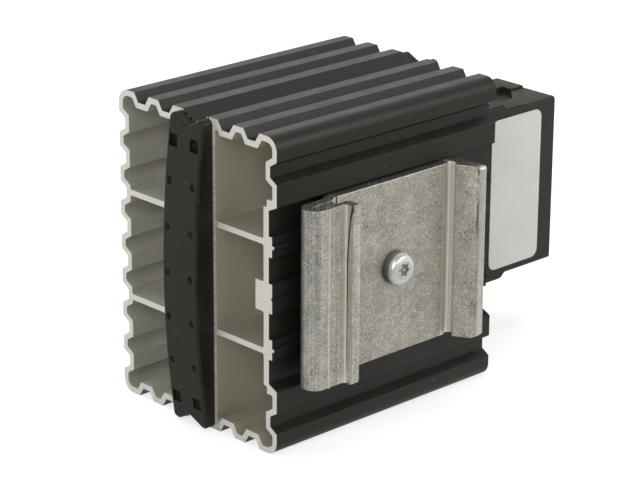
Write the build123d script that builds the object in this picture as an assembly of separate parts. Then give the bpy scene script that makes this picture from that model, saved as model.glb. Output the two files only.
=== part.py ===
from build123d import *
import math
import os

# Enclosure heater: a ribbed aluminium extrusion with a heating cassette in its middle slot,
# a bowed plastic cap on one end, a terminal housing on the other end and a sprung clip
# for a 35 mm mounting rail on one side.
# While it is modelled, X runs from the capped end face to the terminals, -Y is the clip side
# and Z is counted from half height. All sizes are in millimetres.

# Radiator profile
profile_length = 65.0
profile_depth = 50.0
profile_height = 70.0
profile_wall = 1.3
corner_radius = 3.0
corner_land = 5.3
groove_depth = 2.0
groove_floor = 2.3
groove_flank = 1.25
rib_pitch = 7.87
middle_rib_width = 3.1
valley_width = 8.0
valley_depth = 2.0
web_thickness = 1.3
web_height = 12.1
chamber_rounding = 0.5

# Column in the middle of the profile, with the slot for the heating cassette
column_width = 12.4
slot_width = 8.4
earth_web = 6.0
earth_drop = 12.0

# Seat of the clip on the profile
recess_depth = 2.4
recess_taper = 1.15
pad_wall = 1.6
pad_step = 1.0
pad_step_width = 3.4
strip_height = 1.0
strip_width = 4.5
strip_inset = 8.4
nub_width = 0.7
nub_height = 0.6
screw_block_height = 6.6
screw_block_depth = 4.1
guide_notch = 0.4

# Rail clip, with heights counted from its back face
rail_width = 35.0
rail_slack = 0.4
clip_length = 39.5
clip_play = 0.15
clip_thickness = 2.6
clip_shift = -0.2
clip_bend = 0.4
soft_bend = 1.0
hook_height = 9.2
hook_corner = 1.2
hook_base = 2.6
hook_waist = 2.4
seat_height = 1.4
nose_reach = 1.4
nose_thickness = 0.4
rim_reach = 1.4
rim_width = 2.5
relief_width = 2.0
relief_depth = 0.7
fold_reach = 10.1
fold_height = 7.45
fold_lift = 1.7
fold_corner = 2.6
fold_start = 0.4
fold_ramp = 2.5
slit_depth = 7.4
slit_height = 4.1
slit_gap = 0.2
slit_mouth = 2.2
slit_drop = 0.35
heel_undercut = 3.0
neck_height = 5.9
neck_thickness = 1.35
lip_reach = 1.3
lip_width = 2.6
lip_foot = 0.6
lip_rise = 0.8
ridge_height = 0.25
ridge_width = 1.2
ridge_place = 5.9

# Screws
clip_screw_radius = 2.0
clip_screw_head_radius = 3.55
clip_screw_head_height = 3.1
clip_screw_grip = 7.0
earth_screw_radius = 1.5
earth_screw_head_radius = 2.6
earth_screw_head_height = 1.8
earth_screw_grip = 6.0
star_radius = 1.75
star_lobe = 0.48
star_depth = 1.1
blade_slot_width = 0.8
blade_slot_depth = 0.9
head_wall = 0.5
head_shoulder = 0.82
head_shoulder_width = 0.87
head_disc_width = 0.62
thread_play = 0.05
screw_hole_play = 0.2

# End cap and the matching flange of the terminal housing
cap_width = 10.8
cap_margin = 0.4
cap_edge = 2.4
cap_crown = 5.0
cap_chamfer = 0.4
cap_lobe_rounding = 1.2
cap_lobe_land = 1.6
leg_length = 8.0
leg_width = 5.0
leg_thickness = 1.4
leg_inset = 2.75
core_hole = 2.7
core_hole_depth = 1.0
core_hole_spread = 6.5
dimple_radius = 0.85
dimple_depth = 0.5
dimple_spread = 7.3
dimple_pitch = 10.1
dimple_rows = 5

# Terminal housing
housing_wall = 1.5
housing_width = 19.0
neck_length = 4.6
neck_step = 4.0
neck_channel = 32.0
base_length = 14.3
hood_length = 16.0
base_height = 42.4
hood_height = 40.0
cover_rise = 0.45
parting_y = 0.6
cover_gap = 0.25
housing_rounding = 0.8
window_length = 8.6
window_width = 7.2
window_depth = 1.2
window_start = 3.2
window_front = 4.4
window_slant = 4.2

# Terminals
pole_pitch = 8.0
pole_count = 4
cell_width = 6.2
cell_wall = 1.2
block_play = 0.2
block_end = 3.0
block_length = 20.6
wire_hole_radius = 1.8
wire_funnel_radius = 2.3
wire_offset = 0.9
release_width = 4.0
release_height = 2.2
release_y = -0.2
bar_thickness = 0.8
bar_width = 5.4
bar_bend = 1.0
bar_knee = 2.8
bar_foot_play = 0.4
bar_end_play = 1.0
foot_inset = 1.0
spring_sheet = 0.5
spring_width = 5.0
spring_bend = 2.0
spring_inset = 2.6
spring_foot = 8.0
spring_arm = 6.2
inner_play = 0.2
contact_play = 0.05

# Heating cassette
tile_length = 24.0
tile_height = 15.0
tile_thickness = 2.4
tile_gap = 2.0
tile_play = 0.1
frame_border = 1.0
electrode_sheet = 0.4
insulator_sheet = 1.0
insulator_lap = 1.0
cassette_start = 4.0
wedge_thin = 1.2
wedge_height = 14.0
riser_width = 4.0

# Label plate
label_length = 16.6
label_height = 36.3
label_thickness = 0.15
label_corner = 2.0
label_from_end = 4.7

# Small values of the modelling itself: how far a cutter reaches past a surface, the width
# of a groove's floor where it ends in a point, and how near two places count as the same
past = 1.0
sharp_floor = 0.02
same = 0.1

# Places that follow from the sizes above
half_depth = profile_depth / 2
half_height = profile_height / 2
groove_mouth = groove_floor + 2 * groove_flank
slot_half_height = half_height - valley_depth - profile_wall
clip_seat_y = -half_depth + recess_depth - strip_height - nub_height
clip_front_y = clip_seat_y - clip_thickness
cassette_length = 2 * tile_length + tile_gap + 2 * frame_border + 4 * tile_play
cassette_end = cassette_start + cassette_length
tile_low_y = slot_width / 2 - insulator_sheet - electrode_sheet - tile_thickness
neutral_low_y = tile_low_y - electrode_sheet
wedge_top_y = neutral_low_y - insulator_sheet
wedge_thick = wedge_top_y + slot_width / 2 - wedge_thin
base_start_x = profile_length + cap_edge + neck_length
hood_start_x = base_start_x + base_length
housing_end_x = hood_start_x + hood_length
block_end_x = housing_end_x - housing_wall - block_play
block_start_x = block_end_x - block_length
cell_end_x = block_end_x - block_end
inner_height = hood_height - 2 * housing_wall
bar_y = housing_width / 2 - housing_wall - block_play - cell_wall - inner_play - bar_thickness / 2
tail_y = slot_width / 2 - insulator_sheet + bar_thickness / 2
bar_end_x = cell_end_x - bar_end_play
knee_x = block_start_x - bar_knee
pole_heights = [pole_pitch * (pole_count - 1) / 2 - pole_pitch * n for n in range(pole_count)]


def groove(mouth, floor, depth):
    """Cutter with its mouth on the local X axis and its floor at -depth."""
    points = [
        (-mouth / 2, past),
        (-mouth / 2, 0),
        (-floor / 2, -depth),
        (floor / 2, -depth),
        (mouth / 2, 0),
        (mouth / 2, past),
    ]
    return make_face(Polyline(*points, close=True))


def ribbed_outline():
    """Outer shape of the profile, seen along X, with every groove but not the clip's seat."""
    face = RectangleRounded(profile_depth, profile_height, corner_radius)
    rib_gap = groove(groove_mouth, groove_floor, groove_depth)
    valley = groove(valley_width, sharp_floor, valley_depth)
    first_end_groove = valley_width / 2 + middle_rib_width + groove_mouth / 2
    end_room = half_depth - corner_land - groove_mouth / 2 - first_end_groove
    end_grooves = [first_end_groove + rib_pitch * n for n in range(int(end_room / rib_pitch + 1.05))]
    side_room = half_height - corner_land - groove_mouth / 2 + rib_pitch / 2
    side_grooves = [rib_pitch * (n + 0.5) for n in range(int(side_room / rib_pitch + 0.05))]
    for turn, height in ((0, half_height), (180, -half_height)):
        face -= Pos(0, height) * Rot(0, 0, turn) * valley
        for side in (-1, 1):
            for place in end_grooves:
                face -= Pos(side * place, height) * Rot(0, 0, turn) * rib_gap
    for side in (-1, 1):
        for place in side_grooves:
            face -= Pos(half_depth, side * place) * Rot(0, 0, -90) * rib_gap
        face -= Pos(-half_depth, side * side_grooves[-1]) * Rot(0, 0, 90) * rib_gap
    return face


def clip_seat():
    """Recess on the clip side, with the raised strips that the clip and its screw bear on."""
    seat_share = (recess_depth - strip_height - nub_height) / recess_depth
    mouth = clip_length + 2 * clip_play + 2 * recess_taper * seat_share
    cut = groove(mouth, mouth - 2 * recess_taper, recess_depth)
    strip = Rectangle(strip_width, strip_height, align=(Align.CENTER, Align.MIN))
    nub = Rectangle(nub_width, strip_height + nub_height, align=(Align.CENTER, Align.MIN))
    block = Rectangle(screw_block_height, strip_height, align=(Align.CENTER, Align.MIN))
    notch = Pos(0, strip_height) * groove(2 * guide_notch, sharp_floor, guide_notch)
    raised = Pos(0, -recess_depth) * (block - notch)
    strip_place = clip_length / 2 - strip_inset
    for side in (-1, 1):
        raised += Pos(side * strip_place, -recess_depth) * (strip + nub)
    return Pos(-half_depth, 0) * Rot(0, 0, 90) * (cut - raised)


def softened(face, radius):
    """The same face with its outward corners rounded."""
    return offset(offset(face, -radius), radius)


def chambers(outline):
    """The six air chambers between the ribbed wall, the column and the webs."""
    inner = offset(outline, -profile_wall, kind=Kind.INTERSECTION)
    pad_depth = recess_depth + pad_wall
    block_depth = recess_depth + screw_block_depth
    for depth, height in (
        (pad_depth, clip_length),
        (pad_depth - pad_step, clip_length + pad_step_width),
        (block_depth, screw_block_height),
    ):
        inner -= Pos(-half_depth, 0) * Rectangle(2 * depth, height)
    inner -= Rectangle(column_width, profile_height)
    for side in (-1, 1):
        inner -= Pos(0, side * web_height) * Rectangle(profile_depth, web_thickness)
    return [softened(cell, chamber_rounding) for cell in inner.faces()]


def radiator_profile():
    """Extrusion with six air chambers, the cassette's slot and two threaded holes."""
    outline = ribbed_outline()
    section = outline - clip_seat()
    for cell in chambers(outline):
        section -= cell
    slot = Rectangle(slot_width, 2 * slot_half_height)
    slot -= Pos(0, -earth_drop) * Rectangle(slot_width, earth_web)
    body = extrude(Plane.YZ * (section - slot), amount=profile_length)
    reach = recess_depth + screw_block_depth + past
    thread = Rot(90, 0, 0) * Cylinder(clip_screw_radius + thread_play, reach)
    body -= Pos(profile_length / 2, reach / 2 - half_depth, 0) * thread
    earth = Rot(0, 90, 0) * Cylinder(earth_screw_radius + thread_play, 2 * (earth_screw_grip + past))
    return body - Pos(profile_length, 0, -earth_drop) * earth


def capped_outline():
    """Outline that the end cap and the housing's flange share, seen along X."""
    height = profile_height - 2 * cap_margin
    face = Rectangle(cap_width, height)
    dip = groove(cap_width - 2 * cap_lobe_land, sharp_floor, valley_depth)
    for turn, place in ((0, height / 2), (180, -height / 2)):
        face -= Pos(0, place) * Rot(0, 0, turn) * dip
    corners = [v for v in face.vertices() if abs(v.Y) > height / 2 - same]
    return fillet(corners, cap_lobe_rounding)


def bowed_plate():
    """Plate on the end face, thicker in the middle than at its two ends, growing to -X."""
    reach = half_height - cap_margin
    bow = make_face(
        [
            Line((0, -reach), (0, reach)),
            Line((0, reach), (-cap_edge, reach)),
            ThreePointArc((-cap_edge, reach), (-cap_crown, 0), (-cap_edge, -reach)),
            Line((-cap_edge, -reach), (0, -reach)),
        ]
    )
    plate = extrude(Plane.XZ * bow, amount=cap_width, both=True)
    plate &= extrude(Plane.YZ * capped_outline(), amount=-cap_crown)
    return chamfer(plate.faces().sort_by(Axis.X)[0].edges(), cap_chamfer)


def legs():
    """Four legs that plug into the slot's ends, growing to +X."""
    out = Part()
    leg = Box(leg_length, leg_thickness, leg_width, align=(Align.MIN, Align.MAX, Align.CENTER))
    for side in (-1, 1):
        for end in (-1, 1):
            y = slot_width / 2 - inner_play / 2
            z = end * (slot_half_height - leg_inset)
            out += Pos(0, side * y, z) * (leg if side > 0 else mirror(leg, Plane.XZ))
    return out


def end_cap():
    """Bowed cap with square core holes near its ends and two rows of round dimples."""
    cap = bowed_plate() + legs()
    core = Box(2 * core_hole_depth, core_hole, core_hole)
    dimple = Rot(0, 90, 0) * Cylinder(dimple_radius, 2 * dimple_depth)
    for side in (-1, 1):
        for end in (-1, 1):
            z = end * (slot_half_height - leg_inset)
            cap -= Pos(bow_x(z), side * core_hole_spread / 2, z) * core
        for row in range(dimple_rows):
            z = dimple_pitch * (row - (dimple_rows - 1) / 2)
            cap -= Pos(bow_x(z), side * dimple_spread / 2, z) * dimple
    return cap


def bow_x(z):
    """Place of the bowed face at height z."""
    reach = half_height - cap_margin
    rise = cap_crown - cap_edge
    radius = (reach * reach + rise * rise) / (2 * rise)
    return radius - cap_crown - math.sqrt(radius * radius - z * z)


def block_from(low_x, high_x, low_y, high_y, height):
    """Box between two places along X and two along Y, centred on half height."""
    shape = Box(high_x - low_x, high_y - low_y, height)
    return Pos((low_x + high_x) / 2, (low_y + high_y) / 2, 0) * shape


def wire_entries(start_x, end_x):
    """The four round wire entries, flared at the outer face."""
    out = Part()
    wire_y = bar_y - bar_thickness / 2 - wire_offset
    flare = wire_funnel_radius - wire_hole_radius
    for z in pole_heights:
        hole = Rot(0, 90, 0) * Cylinder(wire_hole_radius, end_x - start_x + past)
        funnel = Rot(0, 90, 0) * Cone(wire_hole_radius, wire_funnel_radius, flare)
        out += Pos((start_x + end_x) / 2, wire_y, z) * hole
        out += Pos(housing_end_x - flare / 2, wire_y, z) * funnel
    return out


def release_slots(start_x, end_x):
    """Slots beside the wire entries, for the blade that opens a clamp."""
    out = Part()
    for z in pole_heights:
        low_y = release_y - release_height
        slot = block_from(start_x - past, end_x + past, low_y, release_y, release_width)
        out += Pos(0, 0, z) * slot
    return out


def latch_window():
    """Recess across the parting line on top and below, with one slanted end."""
    low_x = hood_start_x + window_start
    high_x = low_x + window_length
    low_y = parting_y - window_front
    high_y = low_y + window_width
    points = [
        (low_x, low_y),
        (high_x - window_slant, low_y),
        (high_x, parting_y),
        (high_x, high_y),
        (low_x, high_y),
    ]
    floor = Plane.XY.offset(hood_height / 2 - window_depth)
    face = make_face(Polyline(*points, close=True))
    top = extrude(floor * face, amount=window_depth + cover_rise + past)
    return top + mirror(top, Plane.XY)


def terminal_housing():
    """Flange, neck, base and the front half of the hood, moulded as one piece."""
    half = housing_width / 2
    flange = Pos(profile_length, 0, 0) * mirror(bowed_plate(), Plane.YZ)
    neck_end = base_start_x + housing_wall
    neck_half = column_width / 2
    tall = base_height - neck_step
    neck = block_from(profile_length + cap_edge / 2, neck_end, -neck_half, neck_half, tall)
    base = block_from(base_start_x, hood_start_x, -half, half, base_height)
    hood = block_from(hood_start_x, housing_end_x, -half, parting_y, hood_height)
    steps = [e for e in base.edges().filter_by(Axis.Y) if e.center().X > hood_start_x - same]
    shell = chamfer(steps, (base_height - hood_height) / 2) + hood
    long_edges = shell.edges().filter_by(Axis.X)
    shell = fillet([e for e in long_edges if abs(abs(e.center().Y) - half) < same], housing_rounding)
    shell += flange + neck + Pos(profile_length, 0, 0) * mirror(legs(), Plane.YZ)
    inner_half = half - housing_wall
    inner_end = housing_end_x - housing_wall
    shell -= block_from(neck_end, inner_end, -inner_half, inner_half, inner_height)
    slot_half = slot_width / 2
    shell -= block_from(profile_length - past, neck_end + past, -slot_half, slot_half, neck_channel)
    shell -= release_slots(inner_end, housing_end_x)
    return shell - latch_window()


def terminal_cover():
    """Back half of the hood, with the four wire entries in its end wall."""
    half = housing_width / 2
    low_x = hood_start_x + cover_gap
    height = hood_height + 2 * cover_rise
    cover = block_from(low_x, housing_end_x, parting_y, half, height)
    edges = cover.edges().filter_by(Axis.X)
    cover = fillet([e for e in edges if e.center().Y > half - same], housing_rounding)
    inner_end = housing_end_x - housing_wall
    inner_half = half - housing_wall
    cover -= block_from(low_x - past, inner_end, parting_y - past, inner_half, inner_height)
    cover -= wire_entries(inner_end, housing_end_x)
    return cover - latch_window()


def terminal_block():
    """Insulating block with one cell for each pole, open towards the heater."""
    half = housing_width / 2 - housing_wall - block_play
    height = inner_height - 2 * block_play
    block = block_from(block_start_x, block_end_x, -half, half, height)
    for z in pole_heights:
        cell_half = half - cell_wall
        cell = block_from(block_start_x - past, cell_end_x, -cell_half, cell_half, cell_width)
        block -= Pos(0, 0, z) * cell
    block -= wire_entries(cell_end_x, block_end_x)
    return block - release_slots(cell_end_x, block_end_x)


def strip(points, sheet, width, z, bend):
    """Bent strip of sheet that follows points in the XY plane, to the left of the path."""
    path = FilletPolyline(*points, radius=bend)
    section = make_face(offset(path, amount=sheet, side=Side.LEFT, closed=True))
    shape = extrude(section, amount=width / 2, both=True)
    return Pos(0, 0, z) * shape


def contact_bar(z, reach_y):
    """Bar of one pole, stepping down to the electrode's tongue."""
    top = bar_y + bar_thickness / 2
    foot_x = base_start_x + housing_wall + bar_foot_play
    points = [
        (bar_end_x, top),
        (knee_x, top),
        (knee_x, reach_y),
        (foot_x, reach_y),
    ]
    return strip(points, bar_thickness, bar_width, z, bar_bend)


def earth_bar():
    """Bar of the two earth poles, with a strap and a foot that is screwed to the profile."""
    top = bar_y + bar_thickness / 2
    low = top - bar_thickness
    bridge_start_x = knee_x + bar_bend
    bridge_end_x = block_start_x - inner_play
    points = [
        (bridge_end_x, top),
        (knee_x, top),
        (knee_x, tail_y + bar_thickness / 2),
        (profile_length, tail_y + bar_thickness / 2),
        (profile_length, -slot_width / 2 + foot_inset),
    ]
    bar = strip(points, bar_thickness, bar_width, -earth_drop, bar_bend)
    for z in pole_heights[2:]:
        bar += Pos(0, 0, z) * block_from(bridge_start_x, bar_end_x, low, top, bar_width)
    bridge = block_from(bridge_start_x, bridge_end_x, low, top, bar_width + pole_pitch)
    bar += Pos(0, 0, (pole_heights[2] + pole_heights[3]) / 2) * bridge
    hole = Rot(0, 90, 0) * Cylinder(earth_screw_radius + screw_hole_play, 4 * bar_thickness)
    return bar - Pos(profile_length, 0, -earth_drop) * hole


def clamp_spring(z):
    """Bent leaf whose free end presses the wire against the bar."""
    floor_y = -housing_width / 2 + housing_wall + block_play + cell_wall + inner_play
    turn_x = cell_end_x - spring_inset - spring_bend
    tip = (turn_x - spring_arm, bar_y - bar_thickness / 2 - contact_play)
    lines = [
        Line((turn_x - spring_foot, floor_y), (turn_x, floor_y)),
        CenterArc((turn_x, floor_y + spring_bend), spring_bend, -90, 180),
        Line((turn_x, floor_y + 2 * spring_bend), tip),
    ]
    section = make_face(offset(Wire(lines), amount=spring_sheet, side=Side.LEFT, closed=True))
    return Pos(0, 0, z) * extrude(section, amount=spring_width / 2, both=True)


def electrode(low_y, tongue_z):
    """Contact sheet of the tiles, with a tongue to its terminal."""
    half = tile_height / 2
    tongue = bar_width / 2
    riser_end = cassette_end + riser_width
    plate = Pos((cassette_start + cassette_end) / 2, 0) * Rectangle(cassette_length, tile_height)
    top = max(half, tongue_z + tongue)
    riser = Pos((cassette_end + riser_end) / 2, (top - half) / 2) * Rectangle(riser_width, top + half)
    end_x = knee_x - bar_thickness - bar_bend
    reach = Pos((riser_end + end_x) / 2, tongue_z) * Rectangle(end_x - riser_end, bar_width)
    sheet = extrude(Plane.XZ * (plate + riser + reach), amount=-electrode_sheet)
    return Pos(0, low_y, 0) * sheet


def tile(number):
    """One heating stone of the cassette."""
    start = cassette_start + frame_border + tile_play
    low_x = start + number * (tile_length + tile_gap + 2 * tile_play)
    return block_from(low_x, low_x + tile_length, tile_low_y, tile_low_y + tile_thickness, tile_height)


def tile_frame():
    """Frame that keeps the heating stones in place."""
    high_y = tile_low_y + tile_thickness
    outer = tile_height + 2 * frame_border
    frame = block_from(cassette_start, cassette_end, tile_low_y, high_y, outer)
    for number in range(2):
        start = cassette_start + frame_border
        low_x = start + number * (tile_length + tile_gap + 2 * tile_play)
        high_x = low_x + tile_length + 2 * tile_play
        hole_height = tile_height + 2 * tile_play
        frame -= block_from(low_x, high_x, tile_low_y - past, high_y + past, hole_height)
    return frame


def insulator(low_y):
    """Ceramic plate between an electrode and the metal."""
    height = tile_height + 2 * frame_border
    low_x = cassette_start - insulator_lap
    high_x = cassette_end + insulator_lap
    return block_from(low_x, high_x, low_y, low_y + insulator_sheet, height)


def wedge(fixed):
    """One of the two wedges that press the cassette against the slot's wall."""
    wall_y = -slot_width / 2 if fixed else wedge_top_y
    inward = 1 if fixed else -1
    near = wedge_thin if fixed else wedge_thick
    far = wedge_thick if fixed else wedge_thin
    points = [
        (cassette_start, wall_y),
        (cassette_end, wall_y),
        (cassette_end, wall_y + inward * far),
        (cassette_start, wall_y + inward * near),
    ]
    face = make_face(Polyline(*points, close=True))
    return extrude(face, amount=wedge_height / 2, both=True)


def clip_section():
    """Section of the rail clip in the XY plane, with its back face on the X axis."""
    middle_x = profile_length / 2 + clip_shift
    stop = middle_x - (rail_width + rail_slack) / 2
    seat = middle_x + (rail_width + rail_slack) / 2
    front = clip_thickness
    nose_low = front + seat_height
    rim_low = seat + rim_reach
    root = stop - slit_depth
    left = stop - fold_reach
    neck_top = neck_height + neck_thickness
    lip_right = stop + lip_reach
    lip_left = lip_right - lip_width
    ridge_x = stop - ridge_place
    corners = [
        (stop - fold_start, 0, soft_bend),
        (seat + hook_base, 0, soft_bend),
        (seat + hook_base, nose_low + hook_waist, soft_bend),
        (rim_low + rim_width, hook_height, clip_bend),
        (rim_low, hook_height, clip_bend),
        (seat - nose_reach, nose_low + nose_thickness, clip_bend),
        (seat - nose_reach / 2, nose_low, clip_bend / 2),
        (seat, nose_low, clip_bend / 2),
        (seat, front, 0),
        (seat - relief_depth, front - relief_depth, clip_bend / 2),
        (seat - relief_width, front, clip_bend / 2),
        (stop, front, 0),
        (stop - slit_mouth, slit_height - slit_drop, 0),
        (root, slit_height, 0),
        (root, slit_height + slit_gap, 0),
        (stop - slit_mouth, slit_height + slit_gap - slit_drop, 0),
        (stop - heel_undercut, neck_height, clip_bend),
        (stop, neck_height, clip_bend),
        (lip_right, neck_height + lip_rise, clip_bend),
        (lip_right, hook_height, clip_bend),
        (lip_left, hook_height, clip_bend),
        (lip_left, neck_top + lip_foot, clip_bend / 2),
        (lip_left - lip_foot, neck_top, clip_bend / 2),
        (ridge_x + ridge_width / 2, neck_top, 0),
        (ridge_x + ridge_width / 4, neck_top + ridge_height, 0),
        (ridge_x - ridge_width / 4, neck_top + ridge_height, 0),
        (ridge_x - ridge_width / 2, neck_top, 0),
        (left, fold_height, fold_corner),
        (left, fold_lift, fold_corner),
        (stop - fold_start - fold_ramp, fold_lift, soft_bend),
    ]
    points = [(x, y) for x, y, bend in corners]
    bends = [bend for x, y, bend in corners]
    return make_face(FilletPolyline(*points, radius=bends, close=True))


def rail_clip():
    """Extruded clip: a plate with a fixed nose at one side and a folded spring at the other."""
    clip = extrude(clip_section(), amount=clip_length / 2, both=True)
    side = hook_corner + past
    corner = Rectangle(side, side, align=(Align.MIN, Align.MIN)) - Circle(hook_corner)
    for end in (-1, 1):
        place = Pos(hook_height - hook_corner, end * (clip_length / 2 - hook_corner))
        turned = corner if end > 0 else mirror(corner, Plane.XZ)
        clip -= extrude(Plane.YZ.offset(profile_length / 2) * place * turned, amount=profile_length)
    clip = Pos(0, clip_seat_y, 0) * Rot(180, 0, 0) * clip
    hole = Rot(90, 0, 0) * Cylinder(clip_screw_radius + screw_hole_play, 3 * clip_thickness)
    return clip - Pos(profile_length / 2, clip_front_y + clip_thickness / 2, 0) * hole


def clip_screw():
    """Screw that holds the clip against the profile, with a star recess in its domed head."""
    radius, height = clip_screw_head_radius, clip_screw_head_height
    points = [
        (0, -clip_screw_grip),
        (clip_screw_radius, -clip_screw_grip),
        (clip_screw_radius, 0),
        (radius, 0),
        (radius, height * head_wall),
        (radius * head_shoulder_width, height * head_shoulder),
        (radius * head_disc_width, height),
        (0, height),
    ]
    screw = revolve(make_face(Plane.XZ * Polyline(*points, close=True)), Axis.Z)
    lobe_place = star_radius - star_lobe
    star = Circle(lobe_place) + PolarLocations(lobe_place, 6) * RegularPolygon(star_lobe, 6)
    screw -= extrude(Pos(0, 0, height - star_depth) * star, amount=star_depth + past)
    return Pos(profile_length / 2, clip_front_y, 0) * Rot(90, 0, 0) * screw


def earth_screw():
    """Screw that holds the earth bar's foot on the profile's end face, with a blade slot."""
    grip, head_height = earth_screw_grip, earth_screw_head_height
    screw = Cylinder(earth_screw_radius, grip, align=(Align.CENTER, Align.CENTER, Align.MAX))
    screw += Cylinder(earth_screw_head_radius, head_height, align=(Align.CENTER, Align.CENTER, Align.MIN))
    slot = Box(2 * earth_screw_head_radius + past, blade_slot_width, 2 * blade_slot_depth)
    screw -= Pos(0, 0, head_height) * slot
    return Pos(profile_length + bar_thickness, 0, -earth_drop) * Rot(0, 90, 0) * screw


def blank_label():
    """Bare label plate on the front of the terminal housing."""
    face = RectangleRounded(label_length, label_height, label_corner)
    plate = extrude(Plane.XZ * face, amount=label_thickness)
    middle_x = housing_end_x - label_from_end - label_length / 2
    return Pos(middle_x, -housing_width / 2, 0) * plate


def all_nodes():
    nodes = {
        "radiator_profile": radiator_profile(),
        "end_cap": end_cap(),
        "terminal_housing": terminal_housing(),
        "terminal_cover": terminal_cover(),
        "terminal_block": terminal_block(),
        "live_bar": contact_bar(pole_heights[0], tail_y + bar_thickness / 2),
        "neutral_bar": contact_bar(pole_heights[1], tile_low_y + bar_thickness),
        "earth_bar": earth_bar(),
        "earth_screw": earth_screw(),
        "live_electrode": electrode(tile_low_y + tile_thickness, pole_heights[0]),
        "neutral_electrode": electrode(neutral_low_y, pole_heights[1]),
        "heating_stone_near": tile(0),
        "heating_stone_far": tile(1),
        "stone_frame": tile_frame(),
        "insulator_back": insulator(slot_width / 2 - insulator_sheet),
        "insulator_front": insulator(neutral_low_y - insulator_sheet),
        "fixed_wedge": wedge(True),
        "driven_wedge": wedge(False),
        "rail_clip": rail_clip(),
        "clip_screw": clip_screw(),
        "blank_label": blank_label(),
    }
    for number, z in enumerate(pole_heights, 1):
        nodes[f"clamp_spring_{number}"] = clamp_spring(z)
    return nodes


os.makedirs("parts", exist_ok=True)
nodes = all_nodes()
boxes = [shape.bounding_box() for shape in nodes.values()]
middle_x = (min(b.min.X for b in boxes) + max(b.max.X for b in boxes)) / 2
middle_y = (min(b.min.Y for b in boxes) + max(b.max.Y for b in boxes)) / 2
to_origin = Pos(-middle_x, -middle_y, half_height)
for name, shape in nodes.items():
    export_step(to_origin * shape, f"parts/{name}.step")
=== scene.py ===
import bmesh
import bpy
import math
from mathutils import Matrix, Vector


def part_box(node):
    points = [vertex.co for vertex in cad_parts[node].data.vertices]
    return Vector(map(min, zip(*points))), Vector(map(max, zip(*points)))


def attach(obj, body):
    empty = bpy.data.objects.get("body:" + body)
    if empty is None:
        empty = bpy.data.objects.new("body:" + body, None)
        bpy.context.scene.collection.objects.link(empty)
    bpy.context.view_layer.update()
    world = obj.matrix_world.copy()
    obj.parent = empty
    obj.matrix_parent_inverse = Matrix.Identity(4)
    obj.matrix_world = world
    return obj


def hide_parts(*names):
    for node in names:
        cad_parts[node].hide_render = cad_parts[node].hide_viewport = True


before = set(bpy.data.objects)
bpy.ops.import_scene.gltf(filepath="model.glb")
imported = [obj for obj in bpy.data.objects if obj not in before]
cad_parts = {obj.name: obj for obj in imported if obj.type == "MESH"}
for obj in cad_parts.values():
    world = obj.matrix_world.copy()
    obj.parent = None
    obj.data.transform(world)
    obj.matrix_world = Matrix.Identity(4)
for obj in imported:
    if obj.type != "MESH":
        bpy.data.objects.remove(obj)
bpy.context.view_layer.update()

# Enclosure heater on a plain white floor. Lengths are in metres. Only a reach, which says from
# where to where a feature goes along one axis, is a pair of millimetres.
MM = 0.001


def grey(value, yellow=0.0, red=0.0):
    """Linear colour of an sRGB grey from 0 to 255, its blue lowered by yellow, its red raised."""
    def linear(level):
        share = max(level, 0.0) / 255
        return share / 12.92 if share <= 0.04045 else ((share + 0.055) / 1.055) ** 2.4
    return (linear(value + 0.15 * yellow + red), linear(value), linear(value - yellow), 1.0)


BLACK = (0.0, 0.0, 0.0, 1.0)
WHITE = (1.0, 1.0, 1.0, 1.0)

# Camera, fitted to the edges of the profile in the photograph
CAMERA_PLACE = (-0.386244, -0.38732, 0.227625)
CAMERA_TARGET = (-0.014611, 0.002079, 0.034129)
CAMERA_LEAN = math.radians(0.3475)
CAMERA_LENS = 146.094
SENSOR_WIDTH = 36.0
NEAREST, FARTHEST = 0.01, 50.0

# Lamps: name, place, size, power, and whether they show in glossy surfaces
LAMP_TARGET = (0, 0, 0.03)
LAMPS = (
    ("overhead", (0.1, 0.25, 0.75), (0.9, 0.9), 6.5, False),
    ("front_left", (-0.75, -0.45, 0.55), (0.6, 0.6), 3.4, True),
    ("front_right", (0.35, -0.85, 0.5), (0.6, 0.5), 3.0, True),
)

# The surround is white at the back and dims towards the viewer, as on a paper sweep. Glossy
# surfaces see NEAR_GLOSS in front and HIGH_GLOSS overhead.
AWAY = (0.6, 0.8, 0.0)
FLOOR_FADE = 0.2
SWEEP_FADE = (-1.0, 0.6)
OVERHEAD_FADE = (0.35, 0.75)
NEAR_GLOSS = 0.22
HIGH_GLOSS = 0.3
WORLD_LIGHT = 0.4

# Floor: its size, its colour for the camera with the glow added to it, and for other light
FLOOR_SIZE = 12.0
FLOOR_SHOWN = grey(170)
FLOOR_GLOW = 0.72
FLOOR_LIT = grey(225)

# Noise lies mostly between these two levels
NOISE_LOW, NOISE_HIGH = 0.3, 0.7

# Strokes: the angle of the first layer and the step to the next, how much wider and shorter
# each next layer is, and how soft a stroke's edge is
STROKE_TURN, STROKE_STEP = 0.3, 2.4
STROKE_WIDER, STROKE_SHORTER = 0.17, 0.09
STROKE_EDGE = 0.08

# Where the rounded normal leaves the true one by this much, there is an edge
EDGE_MATCH = (0.93, 0.995)
BEVEL_SAMPLES = 6

# A face is a sawn or cut end when its normal lies this near to the extrusion's axis
CUT_FACE = 0.9

# Profile: its middle and half sizes, the depth of its ribs, and the seat behind the clip
PROFILE_MIDDLE = (-0.01615, 0.0042, 0.035)
PROFILE_HALF = (0.0325, 0.025, 0.035)
RIB_ZONE = 0.0026
FACING_OUT = 0.2
SEAT_HALF_HEIGHT = 0.0205
STRIP_TOPS_Y = -19.1 * MM
CHAMBER_REACH = (0.0, 14.0)
CLIP_SIDE_Y = (-1.0, 1.0)

# Cut face at the slot on the near end, painted dark over it and darker low on its wall
OVER_SLOT_Y, OVER_SLOT_Z = (-0.1, 7.8), 66.0 * MM
SLOT_WALL_Y, SLOT_WALL_Z = (-2.6, -0.2), (63.0, 65.0)

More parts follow.
